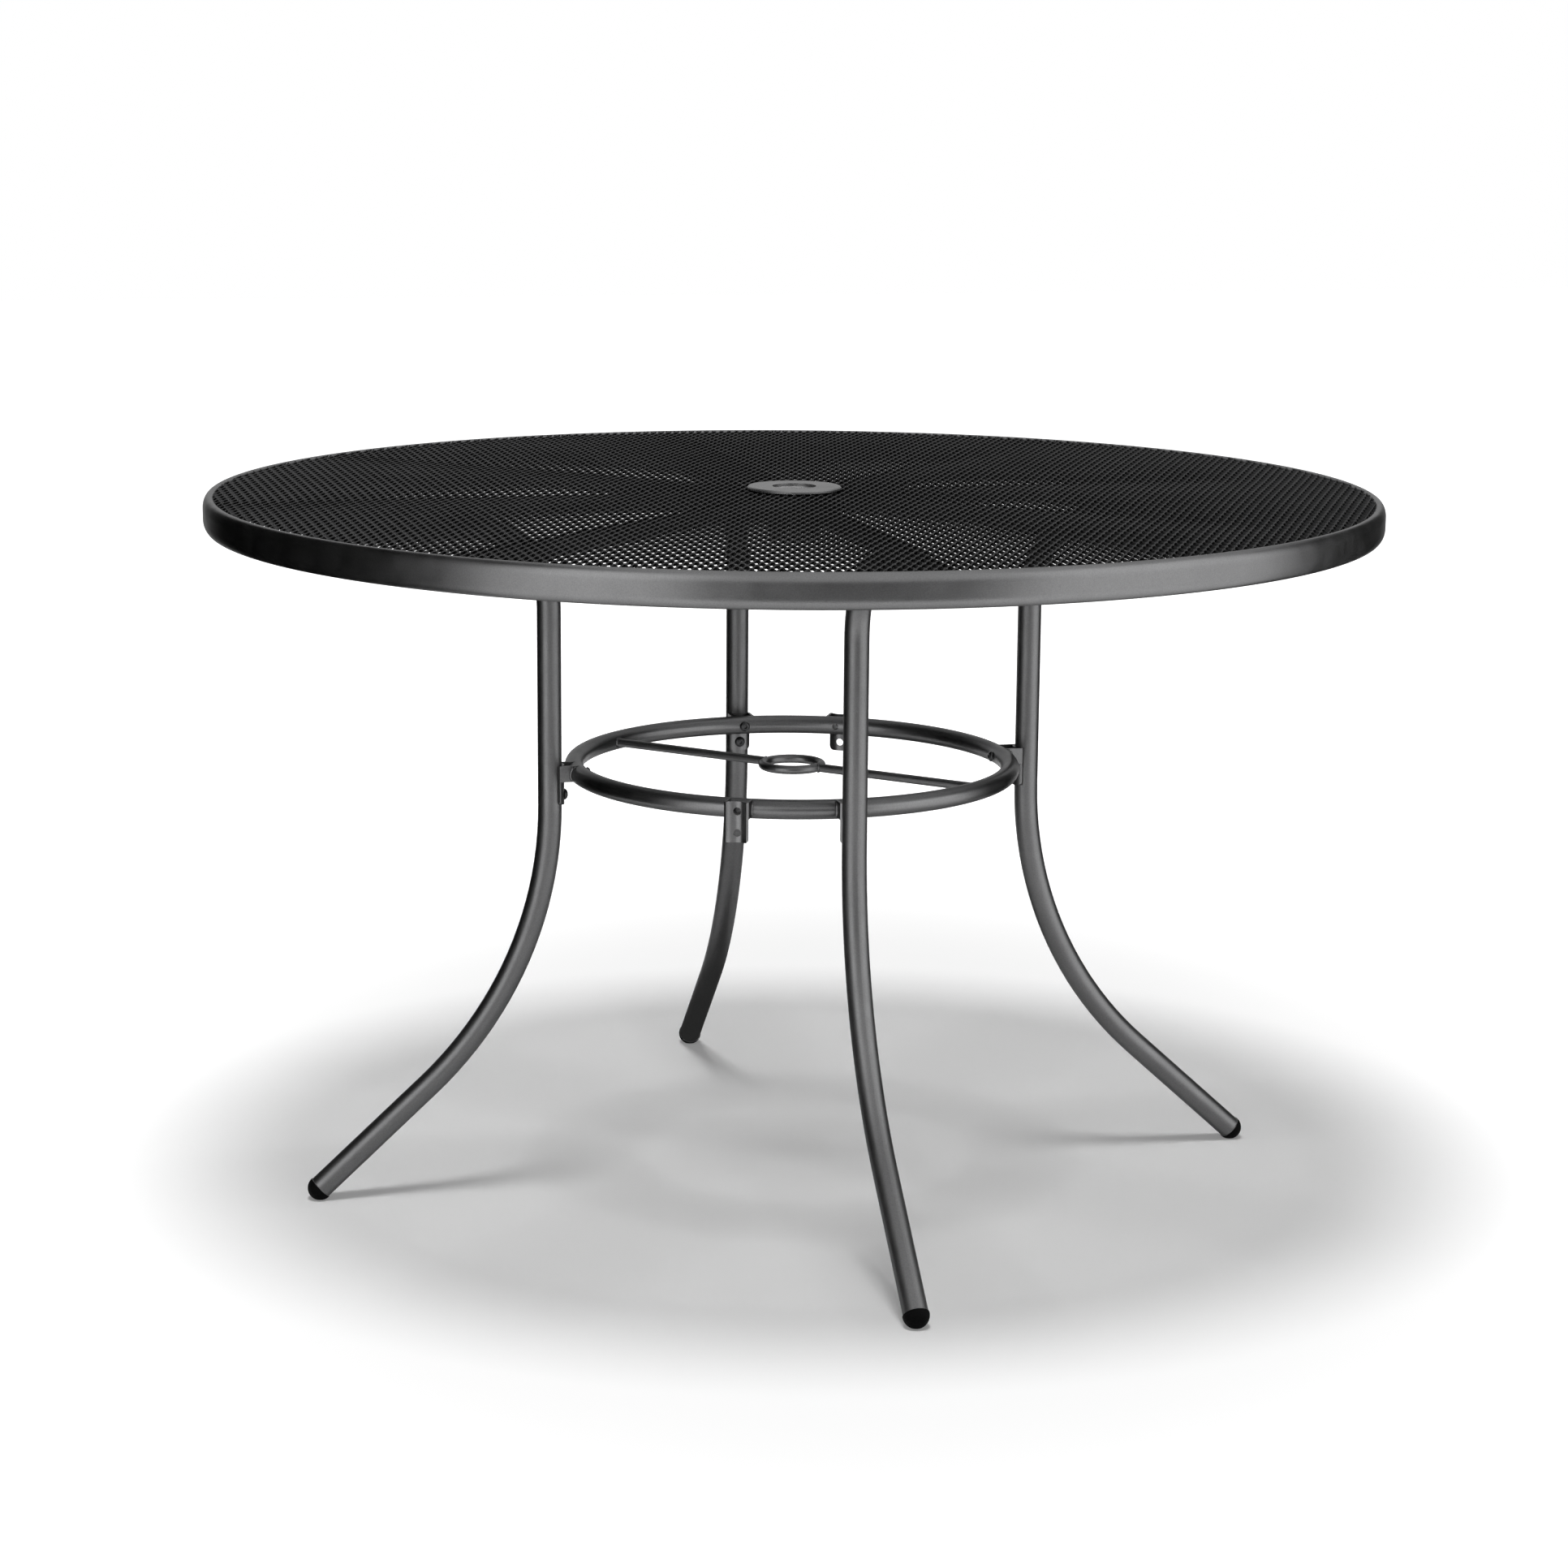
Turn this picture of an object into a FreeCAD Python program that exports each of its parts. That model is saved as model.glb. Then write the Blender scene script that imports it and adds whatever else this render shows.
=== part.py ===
"""Round patio umbrella table: a mesh top in a tube rim, carried by four bent tube legs.

Millimetres, +Z up. The origin is on the floor below the middle of the umbrella hole.
The legs stand on the X and Y axes: left is -X, front is -Y, right is +X, back is +Y.
"""
import FreeCAD, Part
import math
import os

from FreeCAD import Vector

# Top
TOP_DIAMETER = 1219.0        # over the rim, a 48 inch top
RIM_TOP_HEIGHT = 737.0       # floor to the top of the rim, 29 inches
RIM_WIDTH = 14.0             # rim tube, across
RIM_DEPTH = 34.0             # rim tube, top to bottom
RIM_CORNER = 6.5             # nearly half the width: the top and bottom are round
RIM_WALL = 1.5
RIM_ARCS = 8                 # equal arcs that close the hoop
MESH_DROP = 1.5              # the mesh lies this far below the rim's top
MESH_THICKNESS = 1.5
MESH_EDGE_GAP = 0.3          # sheet's edge to the rim's rounded inside
MESH_BORDER = 9.0            # flat band left round the sheet's edges
DIAMOND_LENGTH = 180.0       # long way of one diamond
DIAMOND_WIDTH = 48.0         # short way of one diamond
STRAND_WIDTH = 9.0
STRAND_TURN = 77.0           # degrees from the X axis to the diamonds' long way
SPOKE_COUNT = 8
SPOKE_SIZE = 16.0            # square tube
SPOKE_CORNER = 2.0
SPOKE_WALL = 1.2

# Hub
UMBRELLA_HOLE_DIAMETER = 46.0
HUB_PLATE_DIAMETER = 98.0
HUB_PLATE_THICKNESS = 3.0
HUB_PLATE_EDGE = 1.2         # bevelled upper edge
HUB_PLATE_RISE = 2.5         # from the mesh up to the plate, on the sleeve's end
SLEEVE_WALL = 3.0
SLEEVE_LENGTH = 52.5

# Legs
LEG_TUBE_DIAMETER = 25.0
LEG_TUBE_WALL = 1.5
LEG_RADIUS = 260.0           # table axis to the upright part's axis
FOOT_RADIUS = 506.5          # table axis to the middle of the tube's lower end
FOOT_SPLAY = 47.8            # degrees from upright, at the foot
LEG_BEND_RADIUS = 400.0
ARM_BEND_RADIUS = 85.0
ARM_END_RADIUS = 504.0       # table axis to the arm's outer end
ARM_GAP = 0.2                # arm to the spoke's underside
ARM_BOLT_RADII = (385.0, 470.0)

# Plastic ends
CAP_DIAMETER = 26.4          # foot cap, a little wider than the tube
CAP_DOME_HEIGHT = 13.5       # foot cap beyond the tube's end
CAP_FLAT_DEPTH = 1.6         # how far the dome is cut flat on the floor
CAP_STEM_LENGTH = 18.0
STEM_CLEARANCE = 0.2         # stem to the tube's inside, on the radius
PLUG_HEAD_HEIGHT = 3.0
PLUG_EDGE = 1.5              # bevelled outer edge
PLUG_STEM_LENGTH = 14.0

# Lower ring and pole guide
RING_LEG_GAP = 7.0           # ring's outside to the leg tubes
RING_HEIGHT = 445.0
RING_TUBE_DIAMETER = 20.0
GUIDE_ANGLE = 135.0          # direction of the first guide rod, degrees from +X
GUIDE_ROD_DIAMETER = 9.0
LOOP_RADIUS = 31.0           # to the loop rod's axis
LOOP_ROD_DIAMETER = 9.2

# Saddle brackets between the ring and the legs
SADDLE_THICKNESS = 2.5
SADDLE_CLEARANCE = 0.2       # groove to the leg tube, on the radius
SADDLE_HALF_ARC = 56.0       # degrees
SADDLE_DROP = 41.5           # height of the saddle
SADDLE_CORNER = 5.0          # rounded lower corners
FLANGE_HEIGHT = 17.0
SPARE_ANGLES = {"spare_back": 63.5, "spare_front": 243.5}

# Bolts
BOLT_DIAMETER = 6.0
BOLT_HOLE_DIAMETER = 6.6
SADDLE_HOLE_DIAMETER = 8.0
BOLT_HEAD_DIAMETER = 11.5
BOLT_HEAD_HEIGHT = 3.6
BOLT_HEAD_EDGE = 2.0         # bevel round the head
BOLT_SPACING = 22.0          # upper bolt to lower bolt in a saddle
NUT_ACROSS_FLATS = 10.0
NUT_HEIGHT = 5.0
NUT_BORE_CLEARANCE = 0.1
BOLT_TIP = 1.5               # bolt end beyond its nut

LEG_ANGLES = {"right": 0.0, "back": 90.0, "left": 180.0, "front": 270.0}
SPOKE_NAMES = ("right", "back_right", "back", "back_left", "left", "front_left", "front", "front_right")

# Worked out from the sizes above
RIM_OUTER_RADIUS = TOP_DIAMETER / 2
RIM_INNER_RADIUS = RIM_OUTER_RADIUS - RIM_WIDTH
MESH_TOP = RIM_TOP_HEIGHT - MESH_DROP
RIM_CORNER_RISE = RIM_CORNER - MESH_DROP - MESH_THICKNESS
RIM_CORNER_INSET = RIM_CORNER - math.sqrt(RIM_CORNER ** 2 - RIM_CORNER_RISE ** 2)
MESH_RADIUS = RIM_INNER_RADIUS + RIM_CORNER_INSET - MESH_EDGE_GAP
HUB_PLATE_UNDERSIDE = MESH_TOP + HUB_PLATE_RISE
SPOKE_TOP = MESH_TOP - MESH_THICKNESS
SPOKE_BOTTOM = SPOKE_TOP - SPOKE_SIZE
HOLE_RADIUS = UMBRELLA_HOLE_DIAMETER / 2
SLEEVE_RADIUS = HOLE_RADIUS + SLEEVE_WALL
LEG_TUBE_RADIUS = LEG_TUBE_DIAMETER / 2
LEG_BORE_RADIUS = LEG_TUBE_RADIUS - LEG_TUBE_WALL
DOME_RADIUS = CAP_DIAMETER / 2
ARM_HEIGHT = SPOKE_BOTTOM - ARM_GAP - LEG_TUBE_RADIUS
RING_TUBE_RADIUS = RING_TUBE_DIAMETER / 2
RING_RADIUS = LEG_RADIUS - LEG_TUBE_RADIUS - RING_LEG_GAP - RING_TUBE_RADIUS
RING_INNER_RADIUS = RING_RADIUS - RING_TUBE_RADIUS
SADDLE_GROOVE_RADIUS = LEG_TUBE_RADIUS + SADDLE_CLEARANCE
SADDLE_BACK_RADIUS = SADDLE_GROOVE_RADIUS + SADDLE_THICKNESS
SADDLE_TOP = RING_HEIGHT + RING_TUBE_RADIUS
LOWER_BOLT_HEIGHT = RING_HEIGHT - BOLT_SPACING
NUT_SEAT = math.sqrt(LEG_BORE_RADIUS ** 2 - (NUT_ACROSS_FLATS / math.sqrt(3)) ** 2)

AXIS = Vector(0, 0, 1)
ORIGIN = Vector(0, 0, 0)


def turned(shape, degrees):
    """A copy of a shape made on +X, turned about the table's axis."""
    copy = shape.copy()
    copy.rotate(ORIGIN, AXIS, degrees)
    return copy


def in_plane(radius, height):
    """A point of the upright plane through +X."""
    return Vector(radius, 0, height)


def cylinder(radius, start, end):
    """A round bar from one point to another."""
    return Part.makeCylinder(radius, (end - start).Length, start, end - start)


def hexagon_bar(across_flats, start, end):
    """A six-sided bar from one point to another."""
    along = end - start
    corner = across_flats / math.sqrt(3)
    across = along.cross(Vector(0, 1, 0))
    if across.Length < along.Length / 2:
        across = along.cross(Vector(0, 0, 1))
    across.normalize()
    third = along.cross(across)
    third.normalize()
    corners = []
    for step in range(6):
        angle = math.radians(60 * step)
        corners.append(start + across * (corner * math.cos(angle)) + third * (corner * math.sin(angle)))
    return Part.Face(Part.makePolygon(corners + corners[:1])).extrude(along)


def rounded_section(width, height, corner, middle, first, second):
    """A rounded rectangle round a point, in the plane of two directions."""
    def spot(u, v):
        return middle + first * u + second * v

    half_w = width / 2
    half_h = height / 2
    diagonal = corner * (1 - math.sqrt(0.5))
    edges = []
    for side in range(4):
        u_sign, v_sign = ((1, 1), (-1, 1), (-1, -1), (1, -1))[side]
        along_v = spot(u_sign * half_w, v_sign * (half_h - corner))
        along_u = spot(u_sign * (half_w - corner), v_sign * half_h)
        middle_point = spot(u_sign * (half_w - diagonal), v_sign * (half_h - diagonal))
        start, end = (along_v, along_u) if side % 2 == 0 else (along_u, along_v)
        edges.append(Part.Arc(start, middle_point, end).toShape())
    for side in range(4):
        before = edges[side].Vertexes[-1].Point
        after = edges[(side + 1) % 4].Vertexes[0].Point
        edges.append(Part.LineSegment(before, after).toShape())
    return Part.Face(Part.Wire(Part.__sortEdges__(edges)))


def rim_hoop():
    """The rim: a rounded rectangular tube rolled into a hoop."""
    middle = in_plane(RIM_OUTER_RADIUS - RIM_WIDTH / 2, RIM_TOP_HEIGHT - RIM_DEPTH / 2)
    outside = rounded_section(RIM_WIDTH, RIM_DEPTH, RIM_CORNER, middle, Vector(1, 0, 0), AXIS)
    half_width = RIM_WIDTH / 2 - RIM_WALL
    half_depth = RIM_DEPTH / 2 - RIM_WALL
    bevel = (RIM_CORNER - RIM_WALL) * (2 - math.sqrt(2))
    corners = []
    for u_sign, v_sign in ((1, 1), (-1, 1), (-1, -1), (1, -1)):
        beside = middle + in_plane(u_sign * half_width, v_sign * (half_depth - bevel))
        above = middle + in_plane(u_sign * (half_width - bevel), v_sign * half_depth)
        corners += [beside, above] if u_sign == v_sign else [above, beside]
    bore = Part.Face(Part.makePolygon(corners + corners[:1]))
    sweep = 360 / RIM_ARCS
    first_arc = outside.cut(bore).Faces[0].revolve(ORIGIN, AXIS, sweep)
    hoop = first_arc.fuse([turned(first_arc, step * sweep) for step in range(1, RIM_ARCS)])
    return hoop.Solids[0]


def annulus(outer, inner, height):
    """A flat ring face at a height."""
    centre = Vector(0, 0, height)
    rings = [Part.Wire(Part.makeCircle(radius, centre)) for radius in (outer, inner)]
    rings[1].reverse()
    return Part.Face(rings)


def diamond(x, y, height):
    """One opening of the mesh, with the strands' width left round it."""
    half_length = DIAMOND_LENGTH / 2
    half_width = DIAMOND_WIDTH / 2
    slope = math.hypot(half_length, half_width)
    shrink = 1 - STRAND_WIDTH / 2 * slope / (half_length * half_width)
    points = [
        Vector(x + half_length * shrink, y, height),
        Vector(x, y + half_width * shrink, height),
        Vector(x - half_length * shrink, y, height),
        Vector(x, y - half_width * shrink, height),
    ]
    return Part.Face(Part.makePolygon(points + points[:1]))


def mesh_top():
    """The expanded sheet: one holed face, with its strands in two slanting directions."""
    underside = MESH_TOP - MESH_THICKNESS
    inner = SLEEVE_RADIUS + STEM_CLEARANCE
    open_zone = annulus(MESH_RADIUS - MESH_BORDER, HUB_PLATE_DIAMETER / 2, underside)
    openings = []
    rows = int(MESH_RADIUS / (DIAMOND_WIDTH / 2)) + 1
    columns = int(MESH_RADIUS / DIAMOND_LENGTH) + 1
    for row in range(-rows, rows + 1):
        shift = DIAMOND_LENGTH / 2 if row % 2 else 0.0
        for column in range(-columns, columns + 1):
            hole = diamond(column * DIAMOND_LENGTH + shift, row * DIAMOND_WIDTH / 2, underside)
            hole = turned(hole, STRAND_TURN).common(open_zone)
            openings += [face for face in hole.Faces if face.Area > STRAND_WIDTH ** 2]
    middle = Vector(0, 0, underside)
    edges = [Part.Wire(Part.makeCircle(radius, middle)) for radius in (MESH_RADIUS, inner)]
    sheet = Part.Face(edges + [opening.OuterWire for opening in openings])
    sheet.validate()
    return sheet.extrude(Vector(0, 0, MESH_THICKNESS))


def spoke():
    """A square tube on edge below the mesh, from the sleeve to the rim."""
    start = in_plane(SLEEVE_RADIUS - SPOKE_WALL, SPOKE_TOP - SPOKE_SIZE / 2)
    reach = Vector(RIM_INNER_RADIUS + RIM_WIDTH / 2, 0, 0)
    sideways = Vector(0, 1, 0)
    outside = rounded_section(SPOKE_SIZE, SPOKE_SIZE, SPOKE_CORNER, start, sideways, AXIS).extrude(reach)
    bore = SPOKE_SIZE - 2 * SPOKE_WALL
    inside = Part.makeBox(reach.Length, bore, bore, start - Vector(0, bore / 2, bore / 2))
    tube = outside.cut(inside)
    below = Vector(0, 0, SPOKE_BOTTOM - SPOKE_SIZE / 2)
    rim_inside = Part.makeCylinder(RIM_INNER_RADIUS, 2 * SPOKE_SIZE, below)
    sleeve = Part.makeCylinder(SLEEVE_RADIUS, 2 * SPOKE_SIZE, below)
    return tube.common(rim_inside).cut(sleeve)


def arm_spoke():
    """A spoke that carries a leg's arm: it has the arm bolts' holes in its lower wall."""
    tube = spoke()
    for radius in ARM_BOLT_RADII:
        low = in_plane(radius, SPOKE_BOTTOM - SPOKE_WALL)
        high = in_plane(radius, SPOKE_BOTTOM + 2 * SPOKE_WALL)
        tube = tube.cut(cylinder(BOLT_HOLE_DIAMETER / 2, low, high))
    return tube


def umbrella_sleeve():
    """The collar that the spokes are welded to and the umbrella's pole goes through."""
    bottom = Vector(0, 0, HUB_PLATE_UNDERSIDE - SLEEVE_LENGTH)
    outside = Part.makeCylinder(SLEEVE_RADIUS, SLEEVE_LENGTH, bottom)
    return outside.cut(Part.makeCylinder(HOLE_RADIUS, SLEEVE_LENGTH, bottom))


def hub_plate():
    """The flat disc over the middle of the mesh, on the sleeve, with a bevelled upper edge."""
    underside = Vector(0, 0, HUB_PLATE_UNDERSIDE)
    plate = Part.makeCylinder(HUB_PLATE_DIAMETER / 2, HUB_PLATE_THICKNESS, underside)
    top = HUB_PLATE_UNDERSIDE + HUB_PLATE_THICKNESS
    edges = [edge for edge in plate.Edges if edge.Closed and abs(edge.CenterOfMass.z - top) < 0.01]
    plate = plate.makeChamfer(HUB_PLATE_EDGE, edges)
    return plate.cut(Part.makeCylinder(HOLE_RADIUS, HUB_PLATE_THICKNESS, underside))


def foot_direction():
    """Down and outward, along the leg's lower end."""
    splay = math.radians(FOOT_SPLAY)
    return Vector(math.sin(splay), 0, -math.cos(splay))


def foot_point():
    """The middle of the tube's lower end, so high that the cap's dome is cut by the floor."""
    dome_centre = DOME_RADIUS - CAP_FLAT_DEPTH
    rise = (DOME_RADIUS - CAP_DOME_HEIGHT) * math.cos(math.radians(FOOT_SPLAY))
    return in_plane(FOOT_RADIUS, dome_centre - rise)


def leg_path():
    """The leg's axis: the splayed foot, a long bend, the upright, a tight bend, the arm."""
    splay = math.radians(FOOT_SPLAY)
    foot = foot_point()
    down = foot_direction()
    corner = in_plane(LEG_RADIUS, foot.z + (FOOT_RADIUS - LEG_RADIUS) / math.tan(splay))
    tangent = LEG_BEND_RADIUS * math.tan(splay / 2)
    bend_start = corner + down * tangent
    bend_end = corner + AXIS * tangent
    bend_centre = bend_end + Vector(LEG_BEND_RADIUS, 0, 0)
    half = splay / 2
    bend_middle = bend_centre - Vector(math.cos(half), 0, math.sin(half)) * LEG_BEND_RADIUS
    arm_bend_start = in_plane(LEG_RADIUS, ARM_HEIGHT - ARM_BEND_RADIUS)
    arm_centre = arm_bend_start + Vector(ARM_BEND_RADIUS, 0, 0)
    eighth = math.sqrt(0.5) * ARM_BEND_RADIUS
    arm_middle = arm_centre + Vector(-eighth, 0, eighth)
    arm_start = arm_centre + Vector(0, 0, ARM_BEND_RADIUS)
    arm_end = in_plane(ARM_END_RADIUS, ARM_HEIGHT)
    return [
        Part.LineSegment(foot, bend_start).toShape(),
        Part.Arc(bend_start, bend_middle, bend_end).toShape(),
        Part.LineSegment(bend_end, arm_bend_start).toShape(),
        Part.Arc(arm_bend_start, arm_middle, arm_start).toShape(),
        Part.LineSegment(arm_start, arm_end).toShape(),
    ]


def leg():
    """One leg: a single bent tube, with the bolt holes for its saddle and its arm."""
    path = Part.Wire(leg_path())
    foot = foot_point()
    bars = []
    for radius in (LEG_TUBE_RADIUS, LEG_BORE_RADIUS):
        section = Part.Face(Part.Wire(Part.makeCircle(radius, foot, foot_direction())))
        bars.append(path.makePipe(section))
    tube = bars[0].cut(bars[1])
    for height in (RING_HEIGHT, LOWER_BOLT_HEIGHT):
        outside = in_plane(LEG_RADIUS - SADDLE_BACK_RADIUS, height)
        tube = tube.cut(cylinder(BOLT_HOLE_DIAMETER / 2, outside, in_plane(LEG_RADIUS, height)))
    for radius in ARM_BOLT_RADII:
        low = in_plane(radius, ARM_HEIGHT - LEG_TUBE_DIAMETER)
        tube = tube.cut(cylinder(BOLT_HOLE_DIAMETER / 2, low, in_plane(radius, SPOKE_BOTTOM)))
    return tube


def foot_cap():
    """The plastic foot: a dome on the tube's end, cut flat where it stands, and its stem."""
    foot = foot_point()
    down = foot_direction()
    ball = Part.makeSphere(DOME_RADIUS, foot + down * (CAP_DOME_HEIGHT - DOME_RADIUS))
    tube_side = Part.makeCylinder(2 * DOME_RADIUS, 2 * DOME_RADIUS, foot, -down)
    dome = ball.cut(tube_side)
    stem = Part.makeCylinder(LEG_BORE_RADIUS - STEM_CLEARANCE, CAP_STEM_LENGTH, foot, -down)
    depth = 2 * LEG_TUBE_DIAMETER
    floor = Part.makeBox(2 * depth, 2 * depth, depth, Vector(FOOT_RADIUS - depth, -depth, -depth))
    return dome.fuse(stem).cut(floor)


def arm_plug():
    """The plastic plug in the arm's outer end."""
    end = in_plane(ARM_END_RADIUS, ARM_HEIGHT)
    out = Vector(1, 0, 0)
    head = Part.makeCylinder(LEG_TUBE_RADIUS, PLUG_HEAD_HEIGHT, end, out)
    tip = ARM_END_RADIUS + PLUG_HEAD_HEIGHT
    rims = [edge for edge in head.Edges if edge.Closed and abs(edge.CenterOfMass.x - tip) < 0.01]
    head = head.makeChamfer(PLUG_EDGE, rims)
    stem = Part.makeCylinder(LEG_BORE_RADIUS - STEM_CLEARANCE, PLUG_STEM_LENGTH, end, -out)
    return head.fuse(stem)


def lower_ring():
    """The lower ring: a round bar in a circle, drilled for the upper saddle bolts."""
    bar = Part.makeTorus(RING_RADIUS, RING_TUBE_RADIUS, Vector(0, 0, RING_HEIGHT))
    start = in_plane(RING_INNER_RADIUS - RING_TUBE_RADIUS, RING_HEIGHT)
    end = in_plane(RING_RADIUS + 2 * RING_TUBE_RADIUS, RING_HEIGHT)
    hole = cylinder(BOLT_HOLE_DIAMETER / 2, start, end)
    for angle in LEG_ANGLES.values():
        bar = bar.cut(turned(hole, angle))
    return bar


def saddle_bracket():
    """A pressed saddle for a leg tube, with two flanges that run back to the ring."""
    axis_point = in_plane(LEG_RADIUS, SADDLE_TOP - SADDLE_DROP)
    start_angle = 180 - SADDLE_HALF_ARC
    sweep = 2 * SADDLE_HALF_ARC
    outer = Part.makeCylinder(SADDLE_BACK_RADIUS, SADDLE_DROP, axis_point, AXIS, sweep)
    outer.rotate(axis_point, AXIS, start_angle)
    groove = Part.makeCylinder(SADDLE_GROOVE_RADIUS, SADDLE_DROP, axis_point, AXIS)
    saddle = outer.cut(groove)
    half_width = SADDLE_BACK_RADIUS * math.sin(math.radians(SADDLE_HALF_ARC))
    lip = LEG_RADIUS - SADDLE_BACK_RADIUS * math.cos(math.radians(SADDLE_HALF_ARC))
    outline = rounded_section(
        2 * half_width, 2 * SADDLE_DROP, SADDLE_CORNER,
        in_plane(RING_RADIUS, SADDLE_TOP), Vector(0, 1, 0), AXIS)
    saddle = saddle.common(outline.extrude(Vector(LEG_RADIUS, 0, 0)))
    flanges = []
    for side in (-1, 1):
        low = Vector(RING_RADIUS, side * half_width, SADDLE_TOP - FLANGE_HEIGHT)
        if side > 0:
            low.y -= SADDLE_THICKNESS
        flanges.append(Part.makeBox(lip - RING_RADIUS, SADDLE_THICKNESS, FLANGE_HEIGHT, low))
    bracket = saddle.fuse(flanges).removeSplitter()
    bracket = bracket.cut(Part.makeTorus(RING_RADIUS, RING_TUBE_RADIUS, Vector(0, 0, RING_HEIGHT)))
    bracket = max(bracket.Solids, key=lambda solid: solid.Volume)
    for height in (RING_HEIGHT, LOWER_BOLT_HEIGHT):
        start = in_plane(RING_RADIUS, height)
        bracket = bracket.cut(cylinder(SADDLE_HOLE_DIAMETER / 2, start, in_plane(LEG_RADIUS, height)))
    return bracket


def guide_rod(degrees):
    """Half of the cross rod: from the ring's inside to the pole loop."""
    start = in_plane(LOOP_RADIUS, RING_HEIGHT)
    rod = cylinder(GUIDE_ROD_DIAMETER / 2, start, in_plane(RING_RADIUS, RING_HEIGHT))
    rod = rod.cut(Part.makeTorus(LOOP_RADIUS, LOOP_ROD_DIAMETER / 2, Vector(0, 0, RING_HEIGHT)))
    rod = rod.cut(Part.makeTorus(RING_RADIUS, RING_TUBE_RADIUS, Vector(0, 0, RING_HEIGHT)))
    rod = max(rod.Solids, key=lambda solid: solid.Volume)
    return turned(rod, degrees)


def button_bolt(seat, tip):
    """A button-head bolt: its head's flat side at one point, its shank's end at another."""
    along = tip - seat
    along.normalize()
    head_base = Part.makeCylinder(BOLT_HEAD_DIAMETER / 2, BOLT_HEAD_HEIGHT, seat, -along)
    far_end = seat - along * BOLT_HEAD_HEIGHT
    rims = [edge for edge in head_base.Edges if edge.Closed and (edge.CenterOfMass - far_end).Length < 0.01]
    head = head_base.makeChamfer(BOLT_HEAD_EDGE, rims)
    return head.fuse(cylinder(BOLT_DIAMETER / 2, seat, tip))


def nut(start, end):
    """A hexagon nut round a bolt, from one face to the other."""
    body = hexagon_bar(NUT_ACROSS_FLATS, start, end)
    return body.cut(cylinder(BOLT_DIAMETER / 2 + NUT_BORE_CLEARANCE, start, end))


def around(shape, angles):
    """Copies of a shape at several directions, as one group of solids."""
    return Part.makeCompound([turned(shape, angle) for angle in angles])


def saddle_fasteners():
    """Each leg's two saddle bolts, with their heads inside the ring, and the nuts in the leg."""
    nut_outer = LEG_RADIUS - NUT_SEAT
    nut_inner = nut_outer + NUT_HEIGHT
    groups = {}
    seats = {
        "upper": (RING_INNER_RADIUS, RING_HEIGHT),
        "lower": (LEG_RADIUS - SADDLE_BACK_RADIUS, LOWER_BOLT_HEIGHT),
    }
    for name, (seat, height) in seats.items():
        bolt = button_bolt(in_plane(seat, height), in_plane(nut_inner + BOLT_TIP, height))
        leg_nut = nut(in_plane(nut_outer, height), in_plane(nut_inner, height))
        groups[name + "_ring_bolts"] = around(bolt, LEG_ANGLES.values())
        groups[name + "_leg_nuts"] = around(leg_nut, LEG_ANGLES.values())
    return groups


def arm_fasteners():
    """The bolts up through each arm into its spoke, and the nuts inside the spoke."""
    bolts = []
    nuts = []
    nut_bottom = SPOKE_BOTTOM + SPOKE_WALL
    nut_top = nut_bottom + NUT_HEIGHT
    for radius in ARM_BOLT_RADII:
        seat = in_plane(radius, ARM_HEIGHT - LEG_TUBE_RADIUS)
        bolts.append(button_bolt(seat, in_plane(radius, nut_top + BOLT_TIP)))
        nuts.append(nut(in_plane(radius, nut_bottom), in_plane(radius, nut_top)))
    return {
        "arm_bolts": Part.makeCompound([turned(bolt, a) for a in LEG_ANGLES.values() for bolt in bolts]),
        "arm_nuts": Part.makeCompound([turned(one, a) for a in LEG_ANGLES.values() for one in nuts]),
    }


def build():
    """Every piece of the table, by name."""
    pieces = {
        "rim_hoop": rim_hoop(),
        "mesh_top": mesh_top(),
        "hub_plate": hub_plate(),
        "umbrella_sleeve": umbrella_sleeve(),
        "lower_ring": lower_ring(),
        "pole_loop": Part.makeTorus(LOOP_RADIUS, LOOP_ROD_DIAMETER / 2, Vector(0, 0, RING_HEIGHT)),
        "guide_rod_back": guide_rod(GUIDE_ANGLE),
        "guide_rod_front": guide_rod(GUIDE_ANGLE + 180),
    }
    plain_spoke = spoke()
    drilled_spoke = arm_spoke()
    for index, name in enumerate(SPOKE_NAMES):
        shape = drilled_spoke if name in LEG_ANGLES else plain_spoke
        pieces["spoke_" + name] = turned(shape, index * 360 / SPOKE_COUNT)
    per_leg = {"leg": leg(), "foot_cap": foot_cap(), "arm_plug": arm_plug(), "bracket": saddle_bracket()}
    for side, angle in LEG_ANGLES.items():
        for name, shape in per_leg.items():
            pieces[name + "_" + side] = turned(shape, angle)
    for side, angle in SPARE_ANGLES.items():
        pieces["bracket_" + side] = turned(per_leg["bracket"], angle)
    pieces.update(saddle_fasteners())
    pieces.update(arm_fasteners())
    return pieces


def export(pieces):
    os.makedirs("parts", exist_ok=True)
    for name, shape in pieces.items():
        shape.exportStep("parts/" + name + ".step")


export(build())
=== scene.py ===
import math
import random

import bmesh
import bpy
from mathutils import Matrix, Vector

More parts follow.
